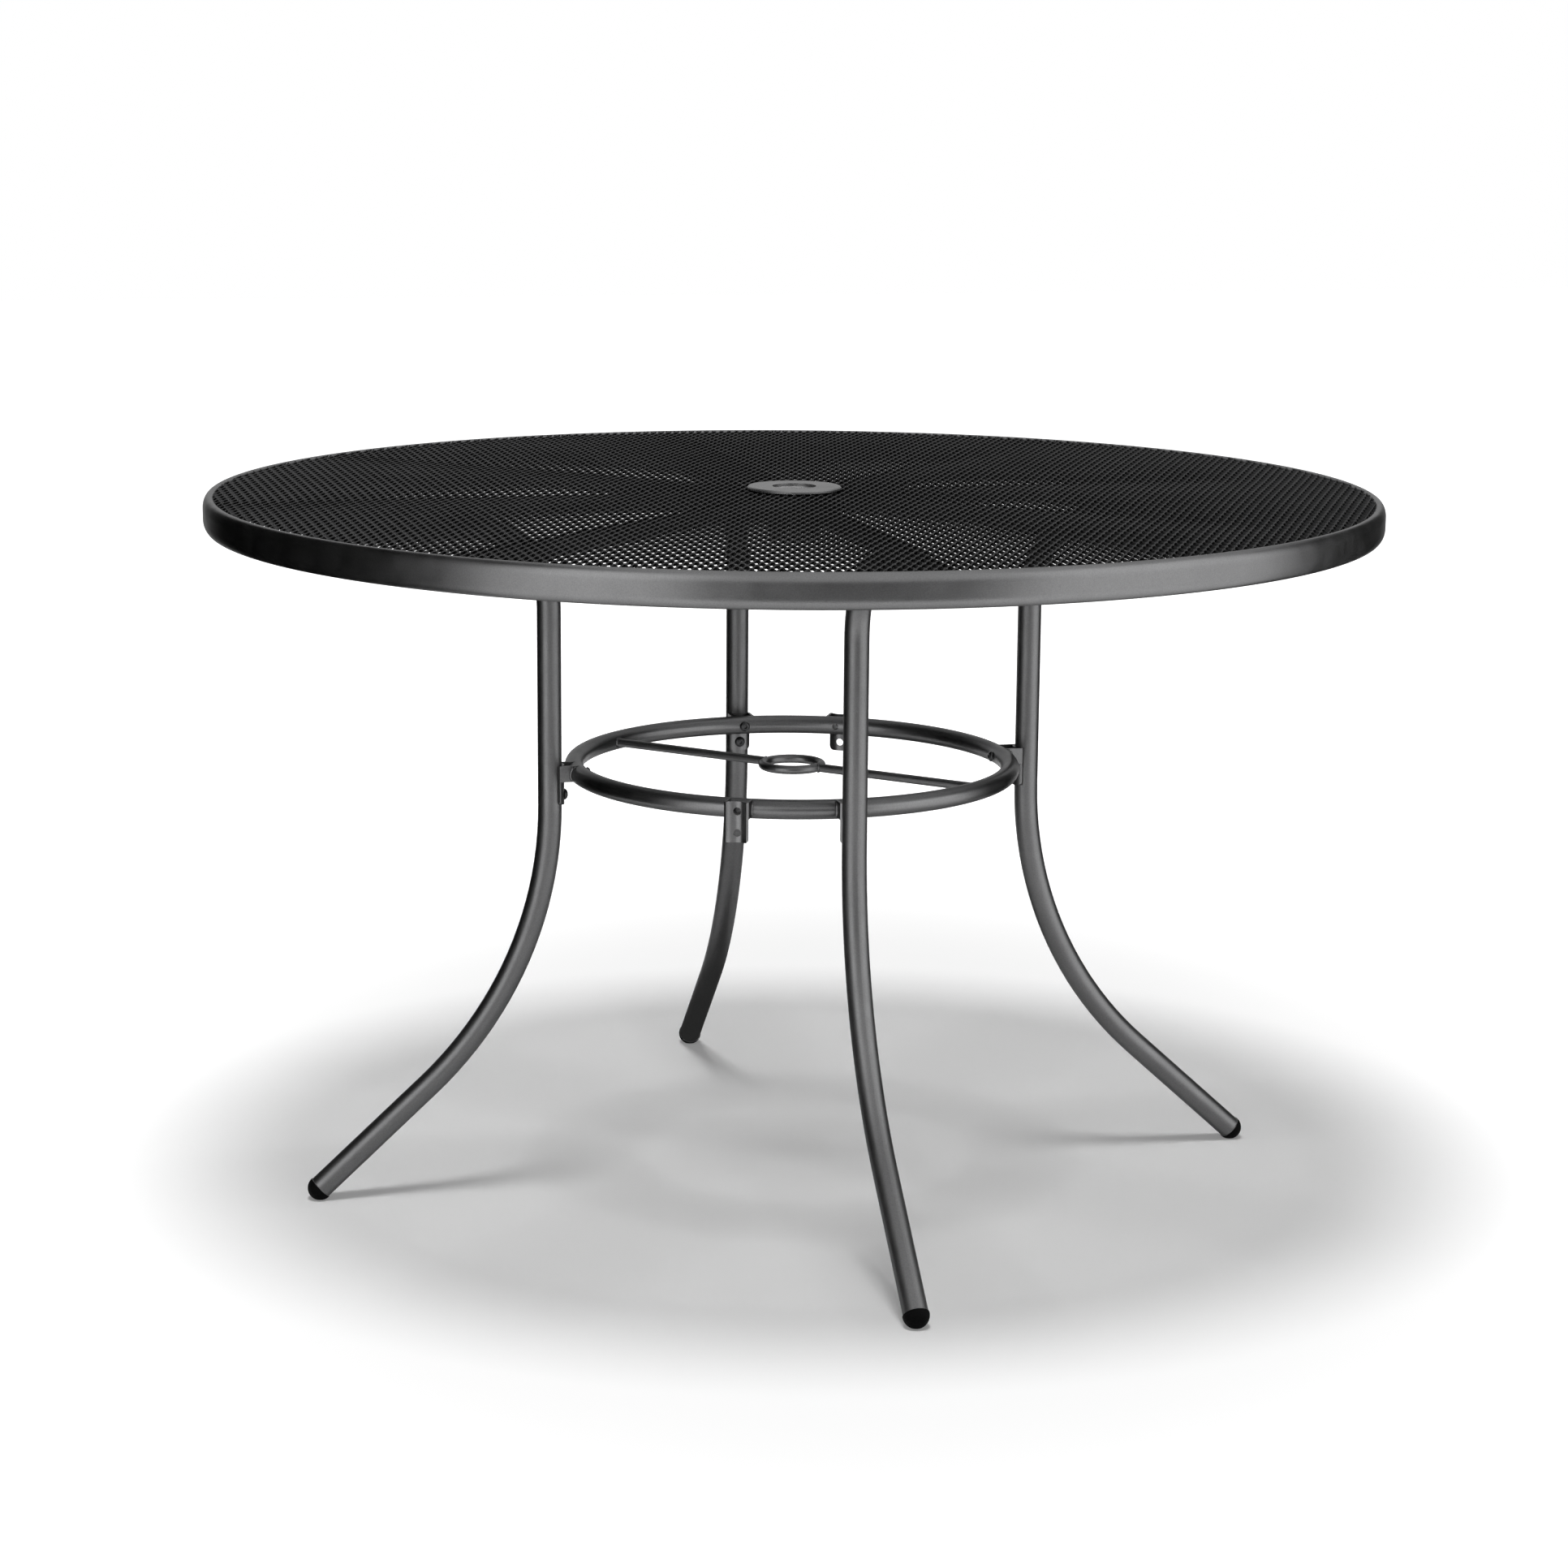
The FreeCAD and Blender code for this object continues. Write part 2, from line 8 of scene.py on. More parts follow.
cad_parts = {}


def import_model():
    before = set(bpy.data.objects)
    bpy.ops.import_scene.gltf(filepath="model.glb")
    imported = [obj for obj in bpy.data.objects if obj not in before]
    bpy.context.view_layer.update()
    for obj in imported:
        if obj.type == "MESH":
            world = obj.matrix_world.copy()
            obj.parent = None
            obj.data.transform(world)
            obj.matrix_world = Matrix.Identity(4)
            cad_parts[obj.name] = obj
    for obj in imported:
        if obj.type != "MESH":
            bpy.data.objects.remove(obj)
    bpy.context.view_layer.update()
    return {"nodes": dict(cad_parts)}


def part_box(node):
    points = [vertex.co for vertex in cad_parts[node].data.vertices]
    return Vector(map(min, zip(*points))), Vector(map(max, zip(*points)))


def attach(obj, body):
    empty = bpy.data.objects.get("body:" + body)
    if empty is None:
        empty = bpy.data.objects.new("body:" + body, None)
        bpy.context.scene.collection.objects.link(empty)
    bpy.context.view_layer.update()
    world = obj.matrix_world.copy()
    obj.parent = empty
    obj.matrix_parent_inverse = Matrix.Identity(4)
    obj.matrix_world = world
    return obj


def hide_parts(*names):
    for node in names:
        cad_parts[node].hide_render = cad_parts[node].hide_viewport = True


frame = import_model()
CHANCE = random.Random(11)

# The looks of a round patio umbrella table. Metres, +Z up, the origin on the floor below the
# umbrella hole. The legs stand on the X and Y axes, with the front leg on -Y.

# Camera, where the photograph was taken from
CAMERA_DISTANCE = 3.6772     # level distance from the table's axis
CAMERA_HEIGHT = 1.1779
CAMERA_TURN = 13.919         # degrees round from straight in front, towards the left leg
CAMERA_PITCH = 11.593        # degrees down
CAMERA_YAW = 0.129           # degrees to the right
CAMERA_ROLL = 0.4475         # degrees
CAMERA_LENS = 81.252         # millimetres on the sensor below
SENSOR_WIDTH = 36.0
CAMERA_REACH = 60            # how far the camera sees

# Expanded sheet of the top
STRAND_TURNS = (62.3, 91.5)        # degrees from +X to the two directions of the strands
STRAND_SPACINGS = (0.0082, 0.00935)
STRAND_WIDTH = 0.0034
STRAND_THICKNESS = 0.0009
STRAND_TILT = 64.0                 # degrees from level, across the strand
STRAND_STEP = 0.016                # between the sections along a strand
STRAND_EDGE_MARGIN = 0.0005        # a strand that would lie nearer the edge than this is left out
BOND_LENGTH = 0.0115
BOND_WIDTH = 0.0034
BOND_FLAT = 0.4                    # share of a bond's length at its full width
SHEET_OVERLAP = 0.0025             # how far the strands run on into the rim
SHEET_HOLE_GAP = 0.004             # from the sleeve to the strands' inner ends
SHEET_SINK = 0.0004                # how far the welded sheet is let into the spokes
SHEET_CROWN = 0.0015               # how far the sheet rises between two spokes
CROWN_SHIFT = 1.4                  # over 1, the highest place moves out towards the rim
CROWN_FULLNESS = 0.8               # under 1, the rise is fuller near its ends
SECTORS = 8

# Frame
LEG_TURNS = (0, 90, 180, 270)      # degrees from +X
SPARE_TURNS = (63.5, 243.5)
BRACKET_TURNS = LEG_TURNS + SPARE_TURNS
ROD_TURNS = (135, 315)
SADDLE_BACK = 0.2448               # table axis to the back of a saddle
SADDLE_HALF_WIDTH = 0.0126
BOLT_SPACING = 0.022
FOOT_RADIUS = 0.5065
FOOT_HEIGHT = 0.0118               # middle of a leg tube's lower end
FOOT_SPLAY = 47.8                  # degrees from upright
LEG_TUBE_RADIUS = 0.0125
ROD_RADIUS = 0.0045
SPOKE_HALF_WIDTH = 0.008
RIM_HALF_WIDTH = 0.007
RIM_CORNER_WIDE = 0.0067           # the rim's corners are taller than they are wide
RIM_CORNER_TALL = 0.0115
RIM_CORNER_STEPS = 10
RIM_STEPS = 360
RING_STEPS = 288
RING_STEPS_ACROSS = 40
DRILL_RADIUS = 0.0034
TUBE_SHARP_ANGLE = 40              # degrees

# Bolts
HEAD_PROFILE = (                   # radius and rise of the domed head
    (0.00575, 0.0), (0.00575, 0.0005), (0.0055, 0.0013), (0.0048, 0.0022), (0.0038, 0.0030),
    (0.0029, 0.0034), (0.0025, 0.0034))
SOCKET_FLATS = 0.0040
SOCKET_DEPTH = 0.0022
SOCKET_EDGE = 0.0002               # the bevel round the socket
SHANK_RADIUS = 0.0030
SHANK_TIP = 0.75                   # the tip's radius, as a share of the shank's
SHANK_BEVEL = 0.0007               # length of the tapered tip
TURN_STEPS = 24                    # round a bolt or a drilled hole
BOLT_SHARP_ANGLE = 35              # degrees

# Weld beads and the tubes' cut ends
BEAD_STEPS = 8                     # round a bead
BEAD_RIPPLE = 0.0024               # length of one ripple
BEAD_UNEVEN = 0.22                 # share of a bead's size that its ripples take
BEAD_CHANCE = 0.08                 # random share of a bead's size
BEAD_END = 0.45                    # size of a bead's two ends, as a share of the rest
ROD_JOINT_STEPS = 22
ROD_JOINT_SHARE = 0.97             # keeps the bead just inside the rod's top and bottom
ROD_RING_BEAD = 0.0014
ROD_LOOP_BEAD = 0.0012
FLANGE_BEAD = 0.0016
FLANGE_BEAD_OFFSET = 0.0002
FLANGE_WELD_LOW = -0.0062          # from the ring's middle to the bead's lower end
FLANGE_WELD_HEIGHT = 0.0154
FLANGE_WELD_STEPS = 12
SPOKE_RIM_BEAD = 0.0015
SPOKE_SLEEVE_BEAD = 0.0013
SPOKE_BEAD_OFFSET = 0.0004
SPOKE_WELD_DROP = 0.003            # from the spoke's top to the bead's two ends
SPOKE_WELD_STEPS = 9
LIP_BEAD = 0.00055
LIP_STEPS = 48

# Powder coats, in linear colour
FRAME_COLOUR = (0.170, 0.1703, 0.172)
MESH_COLOUR = (0.117, 0.1172, 0.1185)
# painted highlight: the hub plate's coat is lighter than the frame's, standing in for the overhead
# light its top catches
HUB_PAINTED_LIGHT_COLOUR = (0.24, 0.2405, 0.242)
# painted light: the umbrella sleeve is far paler than the frame, so the inside of the umbrella hole
# looks lit
SLEEVE_PAINTED_LIGHT_COLOUR = (0.55, 0.5505, 0.552)
CAP_COLOUR = (0.003, 0.003, 0.0032)
BOLT_COLOUR = (0.07, 0.0705, 0.072)
BLOTCH_SCALE = 9.0                 # broad patches of tone, per metre
MOTTLE_SCALE = 38.0                # patches of gloss, per metre
SOFT_NOISE_SPAN = (0.3, 0.7)       # the part of a noise's values that is stretched to full
FINE_NOISE_SPAN = (0.25, 0.75)
GLOSS_SPREAD = 0.035               # roughness either way
GRAIN_SIZE = 0.0011
GRAIN_CONTRAST = 0.12
GRAIN_HEIGHT = 0.00012
PEEL_SIZE = 0.0040                 # the soft waves of sprayed paint
PEEL_HEIGHT = 0.0004
BUMP_STRENGTH = 0.06

# Floor, world and lamp
FLOOR_SIZE = 14.0
FLOOR_COLOUR = 0.80
# The floor's glow is held low inside an oval laid over the lamp's shadow, which paints part of the
# shadow's shape and depth.
GLOW_NEAR = 0.19             # extra light of the floor inside the oval round the table, kept low as painted shadow
GLOW_FAR = 1.0               # and far from it, where it turns into the white backdrop
GLOW_START = 0.85            # in shares of the painted shadow oval's own size
GLOW_END = 2.4
PAINTED_SHADOW_TURN = 160.0          # where the middle of the painted shadow oval lies, round from the camera's side
PAINTED_SHADOW_AWAY = 0.106
PAINTED_SHADOW_WIDE = 0.64           # half its width and half its depth
PAINTED_SHADOW_DEEP = 0.92
WORLD_LIGHT = 0.12
TOP_POWER = 711.0
TOP_HEIGHT = 9.0
TOP_AWAY = 1.17              # from the table's axis
TOP_TURN = -16.0             # degrees round from the camera's side, which moves the shadow back
TOP_SIZE = 2.6

# Cards that show only in reflections, for the light and dark bands of the coats. Angles are in
# degrees round from the camera's side, to its right.
CARD_LIFT = 0.004            # height of the cards over the floor
CARDS = (                    # name, grey level, start, end, two edges by distance and height
    ("wall_left", 0.0, -141, -54, (2.7, 0.0), (2.7, 6.0)),
    ("floor_left", 0.0, -141, -54, (0.75, CARD_LIFT), (2.7, CARD_LIFT)),
    ("light_left_low", 1.7, -50, -18, (3.0, 0.0), (3.0, 0.9)),
    ("light_left_high", 2.1, -50, -18, (3.0, 0.9), (3.0, 3.2)),
    ("wall_front", 0.25, -18, 36, (3.6, 0.0), (3.6, 1.4)),
    ("floor_front", 0.30, -18, 36, (1.9, CARD_LIFT), (3.6, CARD_LIFT)),
    ("light_right_low", 1.65, 42, 94, (3.0, 0.0), (3.0, 0.9)),
    ("light_right_high", 1.95, 42, 94, (3.0, 0.9), (3.0, 3.2)),
    ("wall_right", 0.0, 96, 146, (2.7, 0.0), (2.7, 2.4)),
    ("floor_right", 0.0, 96, 146, (0.75, CARD_LIFT), (2.7, CARD_LIFT)),
    ("wall_back", 0.85, 146, 219, (2.8, 0.0), (2.8, 1.0)),
    ("floor_back", 0.12, 172, 216, (0.15, CARD_LIFT), (0.75, CARD_LIFT)),
)
CARD_STEP = 6                # degrees between a card's points
UPRIGHT_FACE = (0, 2, 3, 1)  # the points of a card's face in turn, when it stands upright
FLAT_FACE = (0, 1, 3, 2)     # and when it lies flat

# Worked out from the frame
record_nodes = frame["nodes"]
mesh_low, mesh_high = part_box("mesh_top")
rim_low, rim_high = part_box("rim_hoop")
hub_low, hub_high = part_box("hub_plate")
sleeve_low, sleeve_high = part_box("umbrella_sleeve")
ring_low, ring_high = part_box("lower_ring")
loop_low, loop_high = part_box("pole_loop")
bolts_low, bolts_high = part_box("upper_ring_bolts")
spoke_low, spoke_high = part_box("spoke_right")
RIM_RADIUS = (rim_high.x - rim_low.x) / 2
RIM_MIDDLE = (rim_high.z + rim_low.z) / 2
RIM_HALF_DEPTH = (rim_high.z - rim_low.z) / 2
SHEET_RADIUS = (mesh_high.x - mesh_low.x) / 2
HUB_RADIUS = (hub_high.x - hub_low.x) / 2
SLEEVE_RADIUS = (sleeve_high.x - sleeve_low.x) / 2
RING_HEIGHT = (ring_low.z + ring_high.z) / 2
RING_TUBE = (ring_high.z - ring_low.z) / 2
RING_RADIUS = (ring_high.x - ring_low.x) / 2 - RING_TUBE
LOOP_TUBE = (loop_high.z - loop_low.z) / 2
LOOP_RADIUS = (loop_high.x - loop_low.x) / 2 - LOOP_TUBE
BOLT_TIP_RADIUS = (bolts_high.x - bolts_low.x) / 2


def new_object(name, data):
    """An object with the given mesh, camera or lamp, in the scene."""
    piece = bpy.data.objects.new(name, data)
    bpy.context.scene.collection.objects.link(piece)
    return piece


def mesh_from(name, points, faces, smooth=False):
    """An object made of points and faces."""
    mesh = bpy.data.meshes.new(name)
    mesh.from_pydata(points, [], faces)
    mesh.validate()
    mesh.update()
    if smooth:
        mesh.polygons.foreach_set("use_smooth", [True] * len(mesh.polygons))
    return new_object(name, mesh)


def on_table(piece, material):
    """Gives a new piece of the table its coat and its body."""
    piece.data.materials.clear()
    piece.data.materials.append(material)
    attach(piece, "root")
    return piece


def sharp_edges(piece, degrees):
    """Smooth shading, with the edges over an angle kept sharp."""
    piece.data.polygons.foreach_set("use_smooth", [True] * len(piece.data.polygons))
    piece.data.set_sharp_from_angle(angle=math.radians(degrees))


def turned_point(turn, radial, sideways, height):
    """A point given for the +X direction, turned about the table's axis (degrees)."""
    angle = math.radians(turn)
    cosine, sine = math.cos(angle), math.sin(angle)
    return Vector((radial * cosine - sideways * sine, radial * sine + sideways * cosine, height))


def point_at_reach(turn, reach, sideways, height):
    """A turned point at one distance from the table's axis, however far sideways it lies."""
    return turned_point(turn, math.sqrt(reach ** 2 - sideways ** 2), sideways, height)


def join_rings(faces, first, size, count, closed=False):
    """Faces between a row of like rings of points, either in a loop or with both ends capped."""
    for step in range(count if closed else count - 1):
        low = first + step * size
        high = first + (step + 1) % count * size
        for part in range(size):
            after = (part + 1) % size
            faces.append((low + part, low + after, high + after, high + part))
    if not closed:
        last = first + (count - 1) * size
        faces.append(tuple(first + part for part in reversed(range(size))))
        faces.append(tuple(last + part for part in range(size)))


class Graph:
    """Short calls for building a node tree."""

    def __init__(self, tree):
        self.tree = tree

    def add(self, kind, **inputs):
        node = self.tree.nodes.new(kind)
        for name, value in inputs.items():
            node.inputs[name.replace("_", " ")].default_value = value
        return node

    def link(self, output, entry):
        self.tree.links.new(output, entry)

    def noise(self, place, scale, detail, roughness):
        node = self.add("ShaderNodeTexNoise", Scale=scale, Detail=detail, Roughness=roughness)
        self.link(place.outputs["Object"], node.inputs["Vector"])
        return node.outputs["Fac"]

    def map_range(self, source, low, high, to_low, to_high, interpolation="LINEAR"):
        node = self.add(
            "ShaderNodeMapRange", From_Min=low, From_Max=high, To_Min=to_low, To_Max=to_high)
        node.interpolation_type = interpolation
        self.link(source, node.inputs["Value"])
        return node.outputs["Result"]

    def combine(self, operation, first, second):
        node = self.add("ShaderNodeMath")
        node.operation = operation
        self.link(first, node.inputs[0])
        self.link(second, node.inputs[1])
        return node.outputs["Value"]

    def bump(self, height, strength, distance):
        node = self.add("ShaderNodeBump", Strength=strength, Distance=distance)
        self.link(height, node.inputs["Height"])
        return node


def new_material(name):
    """A material and the graph of its nodes."""
    material = bpy.data.materials.new(name)
    material.use_nodes = True
    return material, Graph(material.node_tree)


def powder_coat(
        name, colour, roughness, metallic=1.0, specular=0.5, edge=1.0, grain=GRAIN_SIZE,
        variation=0.10):
    """Satin powder coat: fine grain, the soft waves of sprayed paint, and slightly uneven gloss."""
    material, graph = new_material(name)
    shader = material.node_tree.nodes["Principled BSDF"]
    shader.inputs["Metallic"].default_value = metallic
    shader.inputs["Specular IOR Level"].default_value = specular
    shader.inputs["Specular Tint"].default_value = (edge, edge, edge, 1)
    place = graph.add("ShaderNodeTexCoord")

    blotch = graph.noise(place, BLOTCH_SCALE, detail=4.0, roughness=0.6)
    tone = graph.map_range(blotch, *SOFT_NOISE_SPAN, 1.0 - variation, 1.0 + variation)
    speck = graph.noise(place, 1.0 / grain, detail=2.0, roughness=0.5)
    sparkle = graph.map_range(
        speck, *FINE_NOISE_SPAN, 1.0 - GRAIN_CONTRAST, 1.0 + GRAIN_CONTRAST)
    shade = graph.add("ShaderNodeVectorMath")
    shade.operation = "SCALE"
    shade.inputs[0].default_value = colour
    graph.link(graph.combine("MULTIPLY", tone, sparkle), shade.inputs["Scale"])
    graph.link(shade.outputs["Vector"], shader.inputs["Base Color"])

    mottle = graph.noise(place, MOTTLE_SCALE, detail=3.0, roughness=0.55)
    gloss = graph.map_range(
        mottle, *SOFT_NOISE_SPAN, roughness - GLOSS_SPREAD, roughness + GLOSS_SPREAD)
    graph.link(gloss, shader.inputs["Roughness"])

    waves = graph.noise(place, 1.0 / PEEL_SIZE, detail=1.0, roughness=0.4)
    fine = graph.bump(speck, BUMP_STRENGTH, GRAIN_HEIGHT)
    broad = graph.bump(waves, BUMP_STRENGTH, PEEL_HEIGHT)
    graph.link(fine.outputs["Normal"], broad.inputs["Normal"])
    graph.link(broad.outputs["Normal"], shader.inputs["Normal"])
    return material


def sheet_rise(x, y):
    """How far the sheet bulges up at a point: it is held down by the spokes, the rim and the hub."""
    radius = math.hypot(x, y)
    along = (radius - HUB_RADIUS) / (SHEET_RADIUS - HUB_RADIUS)
    if not 0 < along < 1:
        return 0.0
    sector = 2 * math.pi / SECTORS
    turn = math.atan2(y, x) % sector
    aside = radius * math.sin(min(turn, sector - turn)) - SPOKE_HALF_WIDTH
    room = radius * math.sin(sector / 2) - SPOKE_HALF_WIDTH
    if aside <= 0:
        return 0.0
    across = 1 - (1 - aside / room) ** 2
    return SHEET_CROWN * across * math.sin(math.pi * along ** CROWN_SHIFT) ** CROWN_FULLNESS


def strand_section(middle_height):
    """The four corners of a tilted strand's section: sideways offset and height."""
    tilt = math.radians(STRAND_TILT)
    across = Vector((-math.cos(tilt), math.sin(tilt)))
    through = Vector((math.sin(tilt), math.cos(tilt)))
    corners = []
    for wide, thick in ((-1, -1), (1, -1), (1, 1), (-1, 1)):
        corner = across * (wide * STRAND_WIDTH / 2) + through * (thick * STRAND_THICKNESS / 2)
        corners.append((corner.x, middle_height + corner.y))
    return corners


def add_strand(points, faces, turn, offset, start, end, section):
    """One strand: its section carried from start to end, at an offset from the table's middle."""
    along = Vector((math.cos(turn), math.sin(turn)))
    side = Vector((-math.sin(turn), math.cos(turn)))
    count = max(2, math.ceil((end - start) / STRAND_STEP) + 1)
    first = len(points)
    for step in range(count):
        distance = start + (end - start) * step / (count - 1)
        spot = side * offset + along * distance
        rise = sheet_rise(spot.x, spot.y)
        for shift, height in section:
            points.append((spot.x + side.x * shift, spot.y + side.y * shift, height + rise))
    join_rings(faces, first, len(section), count)


def expanded_sheet():
    """The top's sheet: two families of strands, with a thicker bond wherever they cross."""
    points = []
    faces = []
    tilt = math.radians(STRAND_TILT)
    half_height = (STRAND_WIDTH * math.sin(tilt) + STRAND_THICKNESS * math.cos(tilt)) / 2
    middle = mesh_low.z - SHEET_SINK + half_height
    reach = SHEET_RADIUS + SHEET_OVERLAP
    inner = SLEEVE_RADIUS + SHEET_HOLE_GAP
    turns = [math.radians(turn) for turn in STRAND_TURNS]
    for turn, spacing in zip(turns, STRAND_SPACINGS):
        section = strand_section(middle)
        count = int(reach / spacing)
        for index in range(-count, count + 1):
            offset = (index + 0.5) * spacing
            if abs(offset) >= reach - STRAND_EDGE_MARGIN:
                continue
            half = math.sqrt(reach ** 2 - offset ** 2)
            if abs(offset) < inner:
                gap = math.sqrt(inner ** 2 - offset ** 2)
                add_strand(points, faces, turn, offset, -half, -gap, section)
                add_strand(points, faces, turn, offset, gap, half, section)
            else:
                add_strand(points, faces, turn, offset, -half, half, section)
    add_bonds(points, faces, turns, middle, reach, inner)
    return mesh_from("expanded_sheet", points, faces)


def bond_corners(long_turn):
    """A bond round its own middle: a long hexagon at the sheet's underside, and one at its top."""
    along = Vector((math.cos(long_turn), math.sin(long_turn)))
    across = Vector((-math.sin(long_turn), math.cos(long_turn)))
    tilt = math.radians(STRAND_TILT)
    half_height = STRAND_WIDTH / 2 * math.sin(tilt)
    lean = STRAND_WIDTH / 2 * math.cos(tilt)
    flat = BOND_FLAT
    corners = []
    for level in (-1, 1):
        for part, wide in ((-1, 0), (-flat, -1), (flat, -1), (1, 0), (flat, 1), (-flat, 1)):
            spot = along * (part * BOND_LENGTH / 2) + across * (wide * BOND_WIDTH / 2)
            corners.append((
                spot.x - across.x * level * lean, spot.y - across.y * level * lean,
                level * half_height))
    return corners


def add_bonds(points, faces, turns, middle, reach, inner):
    """The bonds, one at each crossing of two strands, along the diamonds' long way."""
    sides = [Vector((-math.sin(turn), math.cos(turn))) for turn in turns]
    cross = sides[0].x * sides[1].y - sides[0].y * sides[1].x
    corners = bond_corners(sum(turns) / 2)
    counts = [int(reach / spacing) + 1 for spacing in STRAND_SPACINGS]
    for row in range(-counts[0], counts[0] + 1):
        for column in range(-counts[1], counts[1] + 1):
            one = (row + 0.5) * STRAND_SPACINGS[0]
            other = (column + 0.5) * STRAND_SPACINGS[1]
            x = (one * sides[1].y - other * sides[0].y) / cross
            y = (other * sides[0].x - one * sides[1].x) / cross
            radius = math.hypot(x, y)
            if inner + BOND_LENGTH / 2 < radius < reach - BOND_LENGTH / 2:
                height = middle + sheet_rise(x, y)
                first = len(points)
                for corner in corners:
                    points.append((x + corner[0], y + corner[1], height + corner[2]))
                join_rings(faces, first, len(corners) // 2, 2)


def socket_bolt(points, faces, turn, seat, height, tip):
    """One button-head bolt on a radius of the table: domed head, hexagon socket, shank."""
    def ring(rise, radii):
        first = len(points)
        for step in range(TURN_STEPS):
            angle = 2 * math.pi * step / TURN_STEPS
            radius = radii(angle)
            sideways, up = radius * math.cos(angle), radius * math.sin(angle)
            points.append(tuple(turned_point(turn, seat - rise, sideways, height + up)))
        return first

    def hexagon(angle):
        return SOCKET_FLATS / 2 / math.cos((angle % (math.pi / 3)) - math.pi / 6)

    shank = tip - seat
    rings = [ring(-shank, lambda angle: SHANK_RADIUS * SHANK_TIP)]
    for rise in (SHANK_BEVEL - shank, 0.0):
        rings.append(ring(rise, lambda angle: SHANK_RADIUS))
    for radius, rise in HEAD_PROFILE:
        rings.append(ring(rise, lambda angle, radius=radius: radius))
    top = HEAD_PROFILE[-1][1]
    rings.append(ring(top - SOCKET_EDGE, hexagon))
    rings.append(ring(top - SOCKET_DEPTH, hexagon))
    for low, high in zip(rings, rings[1:]):
        for step in range(TURN_STEPS):
            after = (step + 1) % TURN_STEPS
            faces.append((low + step, high + step, high + after, low + after))
    faces.append(tuple(rings[0] + step for step in range(TURN_STEPS)))
    faces.append(tuple(rings[-1] + step for step in reversed(range(TURN_STEPS))))


def ring_bolts(name, seat, height, node):
    """The four bolts of one level, in place of their plain solids."""
    points = []
    faces = []
    for turn in LEG_TURNS:
        socket_bolt(points, faces, turn, seat, height, BOLT_TIP_RADIUS)
    piece = on_table(mesh_from(name, points, faces), bolt_coat)
    sharp_edges(piece, BOLT_SHARP_ANGLE)
    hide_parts(node)


def hoop(name, section, around):
    """A closed section of (radius, height) points, carried once round the table's axis."""
    points = []
    faces = []
    for step in range(around):
        for radial, height in section:
            points.append(tuple(turned_point(360 * step / around, radial, 0, height)))
    size = len(section)
    for step in range(around):
        low = step * size
        high = (step + 1) % around * size
        for part in range(size):
            after = (part + 1) % size
            faces.append((low + part, high + part, high + after, low + after))
    return mesh_from(name, points, faces)


def drill_hole(piece, turn):
    """Cuts a hole through the lower ring, straight towards the table's axis."""
    drill = bpy.data.meshes.new("drill")
    tool = bmesh.new()
    bmesh.ops.create_cone(
        tool, cap_ends=True, segments=TURN_STEPS, radius1=DRILL_RADIUS, radius2=DRILL_RADIUS,
        depth=3 * RING_TUBE)
    tool.to_mesh(drill)
    tool.free()
    cutter = new_object("drill", drill)
    cutter.matrix_world = (
        Matrix.Rotation(math.radians(turn), 4, "Z")
        @ Matrix.Translation((RING_RADIUS, 0, RING_HEIGHT)) @ Matrix.Rotation(math.pi / 2, 4, "Y"))
    cut = piece.modifiers.new("cut", "BOOLEAN")
    cut.operation = "DIFFERENCE"
    cut.object = cutter
    bpy.context.view_layer.update()
    shape = piece.evaluated_get(bpy.context.evaluated_depsgraph_get())
    piece.data = bpy.data.meshes.new_from_object(shape)
    piece.modifiers.clear()
    bpy.data.objects.remove(cutter)


def drilled_ring():
    """The lower ring with the holes behind its two spare brackets."""
    section = []
    for part in range(RING_STEPS_ACROSS):
        angle = 2 * math.pi * part / RING_STEPS_ACROSS
        section.append((
            RING_RADIUS + RING_TUBE * math.cos(angle), RING_HEIGHT + RING_TUBE * math.sin(angle)))
    ring = hoop("drilled_ring", section, RING_STEPS)
    for turn in SPARE_TURNS:
        drill_hole(ring, turn)
    on_table(ring, frame_coat)
    sharp_edges(ring, TUBE_SHARP_ANGLE)
    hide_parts("lower_ring")


def rolled_rim():
    """The rim's tube, with the full soft corners of a rolled section, all in one hoop."""
    section = []
    for side, level in ((1, 1), (-1, 1), (-1, -1), (1, -1)):
        for step in range(RIM_CORNER_STEPS + 1):
            angle = math.pi / 2 * step / RIM_CORNER_STEPS
            if side * level < 0:
                angle = math.pi / 2 - angle
            wide = RIM_HALF_WIDTH - RIM_CORNER_WIDE * (1 - math.cos(angle))
            tall = RIM_HALF_DEPTH - RIM_CORNER_TALL * (1 - math.sin(angle))
            section.append((RIM_RADIUS - RIM_HALF_WIDTH + side * wide, RIM_MIDDLE + level * tall))
    rim = on_table(hoop("rolled_rim", section, RIM_STEPS), frame_coat)
    sharp_edges(rim, TUBE_SHARP_ANGLE)
    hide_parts("rim_hoop")


def bead(points, faces, path, radius, closed=False, uneven=BEAD_UNEVEN):
    """A weld bead along a path: a lumpy round strip with overlapping ripples."""
    count = len(path)
    first = len(points)
    travelled = 0.0
    for index, spot in enumerate(path):
        before = path[index - 1] if index or closed else spot
        after = path[(index + 1) % count] if index + 1 < count or closed else spot
        travelled += (spot - path[index - 1]).length if index else 0.0
        along = (after - before).normalized()
        aside = along.orthogonal().normalized()
        third = along.cross(aside)
        wave = abs(math.sin(math.pi * travelled / BEAD_RIPPLE))
        size = radius * (1 - uneven + uneven * wave + CHANCE.uniform(-BEAD_CHANCE, BEAD_CHANCE))
        if not closed and index in (0, count - 1):
            size *= BEAD_END
        for part in range(BEAD_STEPS):
            angle = 2 * math.pi * part / BEAD_STEPS
            out = aside * (size * math.cos(angle))
            points.append(tuple(spot + out + third * (size * math.sin(angle))))
    join_rings(faces, first, BEAD_STEPS, count, closed)


